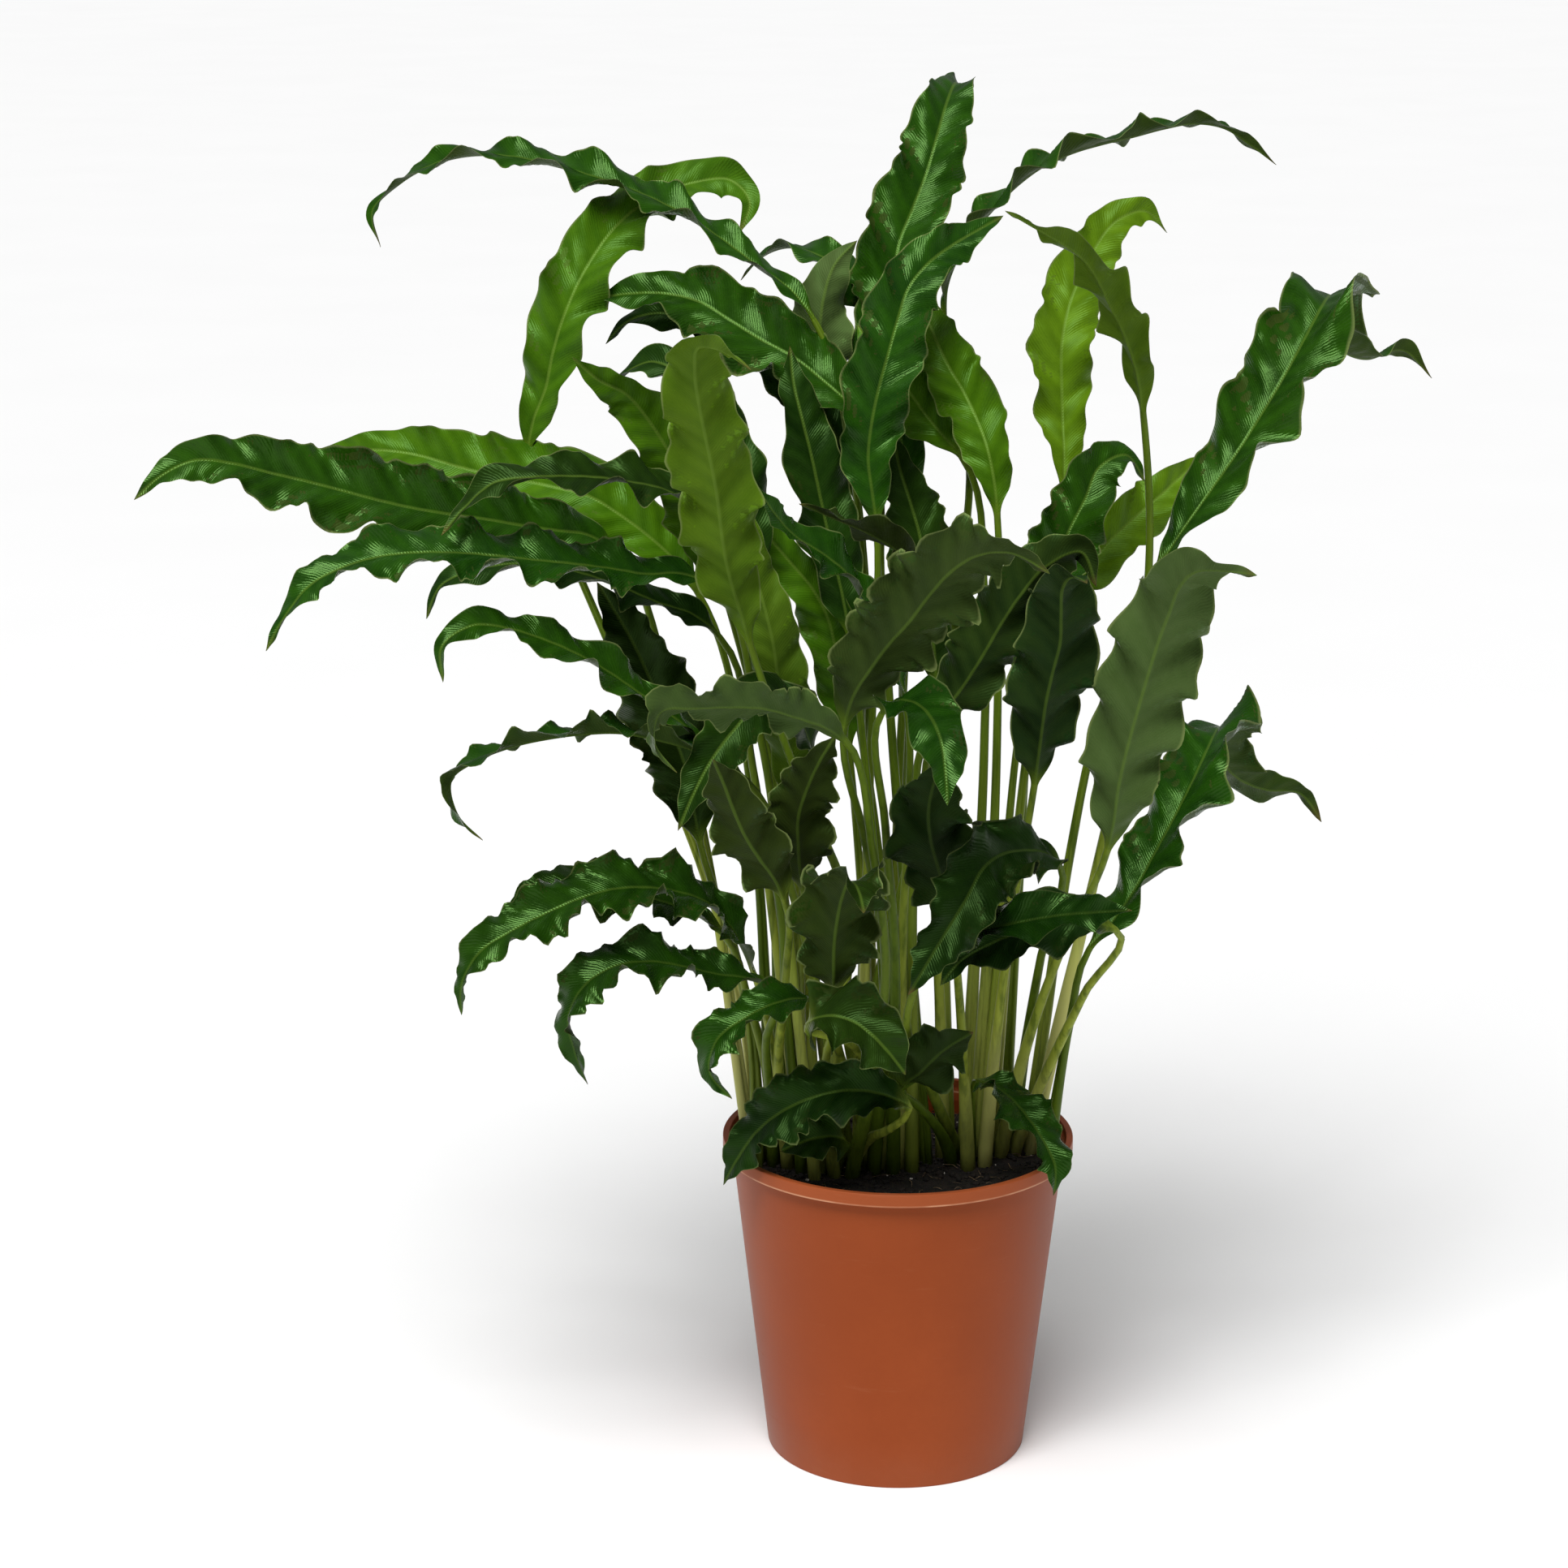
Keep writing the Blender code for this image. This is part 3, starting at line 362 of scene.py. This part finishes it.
# ------------------------------------------------------------------ building a leaf
def grow_leaf(node, number):
    rings, tip = sections_of(node)
    above, below = rings[:, 1:3].mean(1), rings[:, 4:6].mean(1)
    normal, side = unit(above - below), unit(rings[:, 1] - rings[:, 2])
    rib_above, rib_below = (np.linalg.norm(rings[:, k] - rings[:, k + 1], axis=1) for k in (1, 4))
    blade = rib_below < 0.75 * rib_above
    first = int(np.argmax(blade))
    centre = np.where(blade[:, None], above * 0.72 + below * 0.28, rings.mean(1))
    reach = ((rings[:, 0] - rings[:, 3]) * side).sum(1) / 2
    right = ((rings[:, 0] - centre) * normal).sum(1)
    left = ((rings[:, 3] - centre) * normal).sum(1)
    lift, wave = np.where(blade, (right + left) / 2, 0), np.where(blade, (right - left) / 2, 0)
    odd = np.sign(wave[first + 1])

    centre = np.vstack([centre, tip])
    normal = np.vstack([normal, normal[-1]])
    side = np.vstack([side, side[-1]])
    reach, lift, depth = np.append(reach, 0), np.append(lift, 0), np.append(np.abs(wave), 0)
    marks = np.concatenate([[0], np.cumsum(np.linalg.norm(np.diff(centre, axis=0), axis=1))])
    neck, length = marks[first], marks[-1]
    depth[first] = depth[first + 1] * 0.3

    stalk_at = np.linspace(0, neck, max(6, round(neck / STALK_STEP)), endpoint=False)
    blade_at = np.linspace(neck, length - 0.0005, round((length - neck) / BLADE_STEP))
    at = np.concatenate([stalk_at, blade_at])
    line = spline(marks, centre, at)
    line[0, 2] -= STALK_SUNK
    tangent = unit(np.gradient(line, at, axis=0))
    face = spline(marks, normal, at)
    face = unit(face - tangent * (face * tangent).sum(1, keepdims=True))
    out = np.cross(tangent, face)
    half = np.maximum(spline(marks[first:], reach[first:], np.maximum(at, neck)), 0)
    half = np.where(at < neck, reach[first], half)
    rise = spline(marks, lift, at)
    deep = np.maximum(spline(marks, depth, at), 0) * RUFFLE_GAIN
    turn = np.interp(at, marks, np.arange(len(marks))) - first
    share = np.clip((at - neck) / (length - neck), 0, 1)
    as_blade = smooth(at - neck, -0.004, 0.016)

    rng = random.Random(number * 7 + 3)
    a, b, c, d = (rng.uniform(0, math.tau) for _ in range(4))
    swing = 1 + 0.32 * np.sin(turn * 2.1 + c)
    v = np.array([*TOP_SHARES, 0, *[-s for s in reversed(TOP_SHARES)],
                  *[-s for s in UNDER_SHARES], 0, *reversed(UNDER_SHARES)])
    top = len(TOP_SHARES) * 2 + 1
    is_top = np.arange(len(v)) < top
    size = np.abs(v)

    def col(array):
        return array[:, None]

    inward = VEIN_LEAN * col(half) * (1 - size) / HALF_RUFFLE
    drift = np.where(v > 0, 0.4 * np.sin(col(turn) * 1.3 + a), 0.4 * np.sin(col(turn) * 1.1 + b))
    phase = math.pi * (col(turn) + inward) + drift
    ripple = -np.arcsin(POINTED * np.cos(phase)) / math.asin(POINTED) * np.sign(v) * odd
    fold = col(rise) * (1.3 * size - 0.3 * size**2)
    ruffle = col(deep * swing) * size**1.5 * ripple
    crispness = CRISP.get(number, COMMON_CRISP)
    crisp = CRINKLE_DEPTH * crispness * col(smooth(share, 0.02, 0.2)) * size**3
    beat = col(at) / CRINKLE_PITCH * crispness**0.3 + 0.2 * np.sin(col(turn) * 1.9 + d)
    beat = math.tau * beat + c * np.sign(v)
    crinkle = col(half) * crisp * (0.75 * np.sin(beat) + 0.25 * np.sin(1.83 * beat + a))
    reach_x = v * col(half) * (1 - 0.11 * ripple * size) * (1 + 0.75 * crisp * np.cos(beat + 0.6))
    vein = (col(at) - neck) - VEIN_LEAN * np.abs(reach_x)
    bell = 4 * size * (1 - size) * col(np.minimum(half / 0.018, 1))
    pleat = PLEAT_DEPTH * np.sin(math.tau * vein / PLEAT_PITCH + d) * bell
    thick = THICK_MIDDLE + (THICK_MARGIN - THICK_MIDDLE) * size
    thick = thick * col(np.minimum(1, 0.25 + half / 0.006))
    rib = np.exp(-(reach_x / 0.0011) ** 2) * col(1 - 0.7 * share)
    skin = fold + ruffle + crinkle + pleat
    blade_z = np.where(is_top, skin + thick / 2 - rib * 0.0005, skin - thick / 2 - rib * 0.0013)

    foot_share = np.clip(at / neck, 0, 1)
    stem = spline(np.array([0, 0.25, 0.6, 1.0]), np.array([0.0041, 0.0034, 0.0026, 0.0020]), foot_share)
    stem = stem * (1 - 0.6 * share)
    sheath = 1 - smooth(foot_share, 0.18, 0.42)
    channel = np.exp(-((v / 0.3) ** 2)) * (0.25 + 0.2 * col(sheath))
    arc = np.sqrt(np.maximum(0, 1 - v**2))
    stem_z = np.where(is_top, col(stem) * arc * (1 - channel), -col(stem) * arc)
    stem_x = v * col(stem) * (1 + 0.12 * col(sheath))

    t = col(as_blade)
    x = stem_x * (1 - t) + reach_x * t
    z = stem_z * (1 - t) + blade_z * t
    lean = col(half) * 0.10 * size**3 * np.sin(phase) * t
    points = (
        line[:, None, :]
        + out[:, None, :] * x[:, :, None]
        + face[:, None, :] * z[:, :, None]
        + tangent[:, None, :] * lean[:, :, None]
    ).reshape(-1, 3)

    count, around = len(at), len(v)
    grid = np.arange(count * around).reshape(count, around)
    ahead, beside = grid[1:], np.roll(grid, -1, axis=1)
    quads = np.stack([grid[:-1], beside[:-1], beside[1:], ahead], axis=-1).reshape(-1, 4)
    faces = quads.tolist()
    points = np.vstack([points, line[0] - tangent[0] * 0.001, tip])
    foot_v, tip_v = len(points) - 2, len(points) - 1
    faces += [[int(foot_v), int(beside[0, k]), int(grid[0, k])] for k in range(around)]
    faces += [[int(grid[-1, k]), int(beside[-1, k]), int(tip_v)] for k in range(around)]

    made = mesh_piece(f"{node}_grown", points, faces)
    mesh = made.data
    part = np.where(quads[:, 0] // around < len(stalk_at) + 1, 2, quads[:, 0] % around >= top - 1)
    part = np.concatenate([part, np.full(around, 2), np.zeros(around)])
    mesh.polygons.foreach_set("material_index", part.astype(np.int32))

    def spread(array):
        return np.append(np.broadcast_to(array, (count, around)).reshape(-1), [0, 0])

    values = {
        "across": spread(x),
        "along": spread(col(at) - neck),
        "edge": spread(size * t),
        "blade": spread(t),
        "share": spread(col(share)),
        "sheath": spread(col(sheath)),
        "pale": spread(np.full((1, 1), PAINTED_SHEEN.get(number, 0.0))),
        "dim": spread(np.full((1, 1), PAINTED_SHADE.get(number, 0.0))),
        "cream": spread(np.full((1, 1), CREAM.get(number, 0.34 + 0.32 * math.sin(number * 2.3)))),
        "hue": spread(np.full((1, 1), HUES.get(number, 0.0) + 0.25 * math.sin(number * 1.7))),
    }
    values["share"][tip_v] = values["blade"][tip_v] = 1
    for name, array in values.items():
        mesh.attributes.new(name, "FLOAT", "POINT").data.foreach_set("value", array.astype(np.float32))
    ends = np.zeros(len(mesh.edges) * 2, int)
    mesh.edges.foreach_get("vertices", ends)
    ends = ends.reshape(-1, 2)
    place = ends % around
    on_blade = (ends // around >= len(stalk_at) + 3).all(1) & (ends < foot_v).all(1)
    sharp = on_blade & (place[:, 0] == place[:, 1]) & np.isin(place[:, 0], (0, top - 1))
    mesh.attributes.new("sharp_edge", "BOOLEAN", "EDGE").data.foreach_set("value", sharp)
    return made


def mesh_piece(name, points, faces):
    mesh = bpy.data.meshes.new(name)
    mesh.from_pydata(np.asarray(points).tolist(), [], faces)
    mesh.shade_smooth()
    made = bpy.data.objects.new(name, mesh)
    scene.collection.objects.link(made)
    return made


def finished(piece, node, slot, *materials):
    for material in materials:
        piece.data.materials.append(material)
    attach(piece, "root")
    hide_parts(node)
    return piece


def slot_of(node):
    return next(row["material_slot"] for row in frame["record"]["subparts"] if row["node"] == node)


def build_leaves():
    stalk = stalk_material()
    skins = {tone: (leaf_material(tone, True), leaf_material(tone, False), stalk) for tone in TONES}
    for node in sorted(n for n in frame["nodes"] if n.startswith("leaf_")):
        slot = slot_of(node)
        leaf = grow_leaf(node, int(node.split("_")[1]))
        finished(leaf, node, slot, *skins[slot.replace("leaf_", "")])


# ------------------------------------------------------------------ pot
POT_TURN = 160
LIP_HEIGHT, LIP_OVERHANG, LIP_THICK = 0.008, 0.0055, 0.004
POT_WALL, POT_FLOOR, BASE_RADIUS = 0.0018, 0.0025, 0.078
BASE_RECESS = 0.0012  # how far the middle of the base stands above the ground
DRAIN_HOLES, DRAIN_RADIUS, DRAIN_CIRCLE, DRAIN_START = 8, 0.005, 0.052, 0.45


def lathe(profile, steps, name):
    """A closed body turned about the Z axis from (radius, height) points that start and end on the axis."""
    points, rows = [], []
    for radius, height in profile:
        if radius < 1e-7:
            rows.append([len(points)] * steps)
            points.append((0, 0, height))
            continue
        rows.append(list(range(len(points), len(points) + steps)))
        for k in range(steps):
            angle = math.tau * k / steps
            points.append((radius * math.cos(angle), radius * math.sin(angle), height))
    faces = []
    for near, far in zip(rows, rows[1:]):
        for k in range(steps):
            corners = [near[k], far[k], far[(k + 1) % steps], near[(k + 1) % steps]]
            faces.append(list(dict.fromkeys(corners)))
    made = mesh_piece(name, points, faces)
    skin = bmesh.new()
    skin.from_mesh(made.data)
    bmesh.ops.recalc_face_normals(skin, faces=skin.faces)
    skin.to_mesh(made.data)
    skin.free()
    return made


def rounded(points, radius, parts=4):
    """The same line with each inner corner turned in an arc of about this radius."""
    made = [points[0]]
    for before, here, after in zip(points, points[1:], points[2:]):
        b, h, a = (np.array(p, float) for p in (before, here, after))
        back, on = b - h, a - h
        cut = min(radius, np.linalg.norm(back) * 0.45, np.linalg.norm(on) * 0.45)
        start, end = h + back / np.linalg.norm(back) * cut, h + on / np.linalg.norm(on) * cut
        for k in range(parts + 1):
            t = k / parts
            made.append(tuple(start * (1 - t) ** 2 + h * 2 * t * (1 - t) + end * t**2))
    made.append(points[-1])
    return made


def pot_material(lip_foot):
    p = Paint("terracotta_plastic_skin")
    cloud, fine = p.noise(9, 4), p.noise(260, 3)
    base = p.mix(p.step(cloud, 0.3, 0.7), (0.255, 0.047, 0.010), (0.300, 0.058, 0.013))
    base = p.mix(p.math("MULTIPLY_ADD", fine, 0.5, -0.1, clamp=True), base, (0.235, 0.042, 0.010))
    scuff = p.step(p.noise(26, 5, 0.7, p.stretched(1.0, 1.0, 9.0)), 0.60, 0.74)
    base = p.mix(p.math("MULTIPLY", scuff, 0.16), base, (0.38, 0.14, 0.07))
    dust = p.math("MULTIPLY", p.step(p.height_above_floor(), 0.0, 0.035, 1.0, 0.0), p.noise(60, 3))
    base = p.mix(p.math("MULTIPLY", dust, 0.22), base, (0.28, 0.13, 0.08))
    speck = p.step(p.cells(34), 0.035, 0.055, 1.0, 0.0)
    keep = p.step(p.noise(15, 1), 0.56, 0.62)
    base = p.mix(p.math("MULTIPLY", p.math("MULTIPLY", speck, keep), 0.7), base, (0.09, 0.03, 0.015))
    # The lip painted lighter than the wall below it: painted light on the lip.
    painted_lip_light = p.step(p.height_above_floor(), lip_foot, lip_foot + 0.0006)
    base = p.mix(p.math("MULTIPLY", painted_lip_light, 0.22), base, (0.42, 0.125, 0.052))
    # A paler line along the lip's lower edge: a painted highlight, broken up by noise like rubbed wear.
    below = p.step(p.height_above_floor(), lip_foot + 0.0007, lip_foot + 0.0016, 1.0, 0.0)
    lip_edge_highlight_and_wear = p.math("MULTIPLY", painted_lip_light, below)
    lip_edge_highlight_and_wear = p.math("MULTIPLY", lip_edge_highlight_and_wear, p.step(p.noise(40, 3), 0.35, 0.6, 0.3, 0.85))
    p.put(p.mix(lip_edge_highlight_and_wear, base, (0.60, 0.30, 0.17)), p.shader.inputs["Base Color"])
    rough = p.math("MULTIPLY_ADD", scuff, 0.10, 0.38)
    p.put(p.math("MULTIPLY_ADD", cloud, 0.14, rough), p.shader.inputs["Roughness"])
    p.bump(p.math("ADD", p.noise(900, 2), p.math("MULTIPLY", scuff, 0.4)), 0.18, 0.00012)
    p.shader.inputs["Specular IOR Level"].default_value = 0.28
    p.shader.inputs["Specular Tint"].default_value = (1.0, 0.62, 0.42, 1)
    return p.material


def build_pot():
    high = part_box("pot")[1]
    rim, height = high.x, high.z
    top = height - LIP_HEIGHT
    throat = rim - LIP_THICK

    def side(z):
        return BASE_RADIUS + (rim - LIP_OVERHANG - BASE_RADIUS) * z / top

    inside = [(side(z) - POT_WALL, z) for z in (POT_FLOOR, 0.03, top * 0.5, top - 0.004)]
    lip = [(throat, top + 0.003), (throat, height), (rim, height), (rim, top), (side(top) + 0.0004, top)]
    outside = [(side(z), z) for z in (top - 0.002, top * 0.66, top * 0.33, 0)]
    foot = [(side(0) - 0.010, 0), (side(0) - 0.013, BASE_RECESS), (0.030, BASE_RECESS), (0, BASE_RECESS)]
    profile = [(0, POT_FLOOR), (0.030, POT_FLOOR), *inside, *lip, *outside, *foot]
    pot = lathe(rounded(profile, 0.0008, 5), POT_TURN, "pot_turned")
    cutters = []
    for hole in range(DRAIN_HOLES):
        angle = math.tau * (hole + DRAIN_START) / DRAIN_HOLES
        bpy.ops.mesh.primitive_cylinder_add(
            vertices=24, radius=DRAIN_RADIUS, depth=0.012,
            location=(DRAIN_CIRCLE * math.cos(angle), DRAIN_CIRCLE * math.sin(angle), 0.002))
        cutters.append(bpy.context.active_object)
        cut = pot.modifiers.new("drain", "BOOLEAN")
        cut.solver, cut.operation, cut.object = "EXACT", "DIFFERENCE", cutters[-1]
    applied(pot)
    for cutter in cutters:
        bpy.data.objects.remove(cutter, do_unlink=True)
    sharpen(pot.data, 50)
    return finished(pot, "pot", slot_of("pot"), pot_material(top))


def applied(piece):
    bpy.context.view_layer.update()
    evaluated = piece.evaluated_get(bpy.context.evaluated_depsgraph_get())
    mesh = bpy.data.meshes.new_from_object(evaluated)
    piece.modifiers.clear()
    piece.data = mesh


def sharpen(mesh, degrees):
    skin = bmesh.new()
    skin.from_mesh(mesh)
    for edge in skin.edges:
        if len(edge.link_faces) == 2:
            edge.smooth = edge.calc_face_angle(0) < math.radians(degrees)
    for face in skin.faces:
        face.smooth = True
    skin.to_mesh(mesh)
    skin.free()


# ------------------------------------------------------------------ soil
SOIL_RINGS, SOIL_TURN = 64, 180
SOIL_FOOT = 0.0745  # radius of the soil at the pot's floor
SETTLED = 0.0012  # how far the bed's mean level lies below the top of the packed soil
DIP_DEPTH = 0.003


def soil_material():
    p = Paint("potting_soil_skin")
    lumps, grain = p.noise(120, 5, 0.65), p.noise(700, 3)
    base = p.mix(p.step(lumps, 0.35, 0.7), (0.0035, 0.0022, 0.0016), (0.018, 0.010, 0.006))
    base = p.mix(p.step(grain, 0.62, 0.72, 0.0, 0.5), base, (0.05, 0.028, 0.015))
    p.put(base, p.shader.inputs["Base Color"])
    p.put(p.math("MULTIPLY_ADD", grain, 0.3, 0.65), p.shader.inputs["Roughness"])
    p.bump(p.math("ADD", lumps, grain), 0.9, 0.0012)
    return p.material


def speck_material(name, dark, light, rough):
    p = Paint(name)
    patch = p.noise(500, 3)
    p.put(p.mix(p.step(patch, 0.35, 0.65), dark, light), p.shader.inputs["Base Color"])
    p.put(p.math("MULTIPLY_ADD", patch, 0.2, rough - 0.1), p.shader.inputs["Roughness"])
    p.bump(patch, 0.6, 0.0004)
    return p.material


def ground(x, y):
    """Height of the soil above its mean level."""
    spot = Vector((x, y, 0.3))
    coarse = 0.0022 * noise.noise(spot * 38) + 0.0014 * noise.noise(spot * 110)
    return coarse + 0.0007 * noise.noise(spot * 300)


def wall_dip(share):
    """How far the soil sinks next to the pot's wall, at this share of its radius."""
    return DIP_DEPTH * max(0, (share - 0.93) / 0.07) ** 2


def build_soil():
    low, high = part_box("soil")
    top, radius = high.z, high.x
    rings, steps = SOIL_RINGS, SOIL_TURN
    points, faces = [(0, 0, top + ground(0, 0))], []
    for i in range(1, rings + 1):
        r = radius * i / rings
        for k in range(steps):
            angle = math.tau * k / steps
            x, y = r * math.cos(angle), r * math.sin(angle)
            points.append((x, y, top - SETTLED + ground(x, y) - wall_dip(i / rings)))
    for k in range(steps):
        faces.append([0, 1 + k, 1 + (k + 1) % steps])
    for i in range(rings - 1):
        a, b = 1 + i * steps, 1 + (i + 1) * steps
        for k in range(steps):
            n = (k + 1) % steps
            faces.append([a + k, b + k, b + n, a + n])
    edge = 1 + (rings - 1) * steps
    floor_ring = len(points)
    for k in range(steps):
        angle = math.tau * k / steps
        points.append((SOIL_FOOT * math.cos(angle), SOIL_FOOT * math.sin(angle), low.z))
    for k in range(steps):
        n = (k + 1) % steps
        faces.append([edge + k, floor_ring + k, floor_ring + n, edge + n])
    faces.append([floor_ring + k for k in reversed(range(steps))])
    soil = mesh_piece("soil_bed", points, faces)
    finished(soil, "soil", slot_of("soil"), soil_material())

    rng = random.Random(11)
    crumbs = scattered(rng, 900, top, radius, 0.0008, 0.0028, "soil_crumbs")
    rider(crumbs, soil_material())
    perlite = scattered(rng, 46, top, radius, 0.0007, 0.0019, "soil_perlite")
    rider(perlite, speck_material("perlite_skin", (0.42, 0.38, 0.31), (0.75, 0.72, 0.66), 0.8))
    fibres = fibres_on(rng, 150, top, radius)
    rider(fibres, speck_material("fibre_skin", (0.05, 0.03, 0.015), (0.22, 0.15, 0.08), 0.75))


def rider(piece, material):
    piece.data.materials.append(material)
    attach(piece, "root")


def scattered(rng, count, top, radius, small, large, name):
    """Irregular grains lying on the soil, as one mesh."""
    pattern = bmesh.new()
    bmesh.ops.create_icosphere(pattern, subdivisions=1, radius=1)
    shape = [v.co.copy() for v in pattern.verts]
    sides = [[v.index for v in f.verts] for f in pattern.faces]
    pattern.free()
    points, faces = [], []
    for _ in range(count):
        r, angle = radius * 0.97 * math.sqrt(rng.random()), rng.uniform(0, math.tau)
        x, y = r * math.cos(angle), r * math.sin(angle)
        size = small + (large - small) * rng.random() ** 2.5
        stretch = Vector((rng.uniform(0.7, 1.3), rng.uniform(0.7, 1.3), rng.uniform(0.5, 0.9)))
        seed = Vector((rng.uniform(0, 9), rng.uniform(0, 9), rng.uniform(0, 9)))
        spin = rng.uniform(0, math.tau)
        middle = Vector((x, y, top - SETTLED + ground(x, y) + size * 0.3))
        first = len(points)
        for v in shape:
            bent = v * (1 + 0.45 * noise.noise(v * 1.3 + seed))
            bent = Vector((bent.x * stretch.x, bent.y * stretch.y, bent.z * stretch.z)) * size
            turned = Vector((bent.x * math.cos(spin) - bent.y * math.sin(spin),
                             bent.x * math.sin(spin) + bent.y * math.cos(spin), bent.z))
            points.append(middle + turned)
        faces += [[first + k for k in side] for side in sides]
    return mesh_piece(name, points, faces)


def fibres_on(rng, count, top, radius):
    """Short root and bark fibres on the soil, as one mesh of thin tubes."""
    points, faces = [], []
    for _ in range(count):
        r, angle = radius * 0.93 * math.sqrt(rng.random()), rng.uniform(0, math.tau)
        way, bend = rng.uniform(0, math.tau), rng.uniform(-1.2, 1.2)
        long, thick = rng.uniform(0.004, 0.014), rng.uniform(0.00012, 0.00032)
        x, y = r * math.cos(angle), r * math.sin(angle)
        first = len(points)
        for k in range(7):
            if k:
                x += long / 6 * math.cos(way)
                y += long / 6 * math.sin(way)
                way += bend / 6
            if math.hypot(x, y) > radius * 0.97:
                x, y = x * 0.97, y * 0.97
            z = top - 0.0004 + ground(x, y) + thick + 0.0012 * math.sin(k / 6 * math.pi) * abs(bend)
            here = thick * (1 if 0 < k < 6 else 0.4)
            for s in range(5):
                turn = math.tau * s / 5
                sideways, up = here * math.cos(turn), here * math.sin(turn)
                points.append((x - sideways * math.sin(way), y + sideways * math.cos(way), z + up))
        for k in range(6):
            for s in range(5):
                a, b = first + k * 5 + s, first + k * 5 + (s + 1) % 5
                faces.append([a, b, b + 5, a + 5])
        faces.append([first + s for s in reversed(range(5))])
        faces.append([first + 30 + s for s in range(5)])
    return mesh_piece("soil_fibres", points, faces)


# ------------------------------------------------------------------ studio
def build_studio():
    floor = mesh_piece("floor", [(-40, -40, 0), (40, -40, 0), (40, 40, 0), (-40, 40, 0)], [[0, 1, 2, 3]])
    p = Paint("floor_skin")
    p.put(p.mix(p.noise(3, 2), (0.90, 0.90, 0.90), (0.93, 0.93, 0.93)), p.shader.inputs["Base Color"])
    p.shader.inputs["Roughness"].default_value = 0.9
    p.shader.inputs["Specular IOR Level"].default_value = 0.1
    floor.data.materials.append(p.material)

    world = bpy.data.worlds.new("studio")
    scene.world = world
    world.use_nodes = True
    world.node_tree.nodes["Background"].inputs[0].default_value = (1, 1, 1, 1)
    world.node_tree.nodes["Background"].inputs[1].default_value = 0.22

    key = bpy.data.lights.new("key", "SUN")
    key.energy, key.angle = 3.1, math.radians(34)
    lamp = bpy.data.objects.new("key", key)
    lamp.rotation_euler = (math.radians(30), 0, math.radians(-16))
    scene.collection.objects.link(lamp)

    box = bpy.data.lights.new("softbox", "AREA")
    box.shape, box.size, box.energy = "SQUARE", 0.6, 11
    hung = bpy.data.objects.new("softbox", box)
    hung.location = (-0.9, -1.3, 2.1)
    hung.rotation_euler = (Vector((0, 0, 0.5)) - hung.location).to_track_quat("-Z", "Y").to_euler()
    scene.collection.objects.link(hung)

    camera = bpy.data.cameras.new("view")
    camera.lens, camera.sensor_width = 88.5, 36
    camera.clip_end = 200
    eye = bpy.data.objects.new("view", camera)
    eye.location = (-0.0683, -2.181, 1.001)
    eye.rotation_euler = (math.radians(74.9), 0, 0)
    scene.collection.objects.link(eye)
    scene.camera = eye
    scene.view_settings.view_transform = "Standard"


build_studio()
build_pot()
build_soil()
build_leaves()
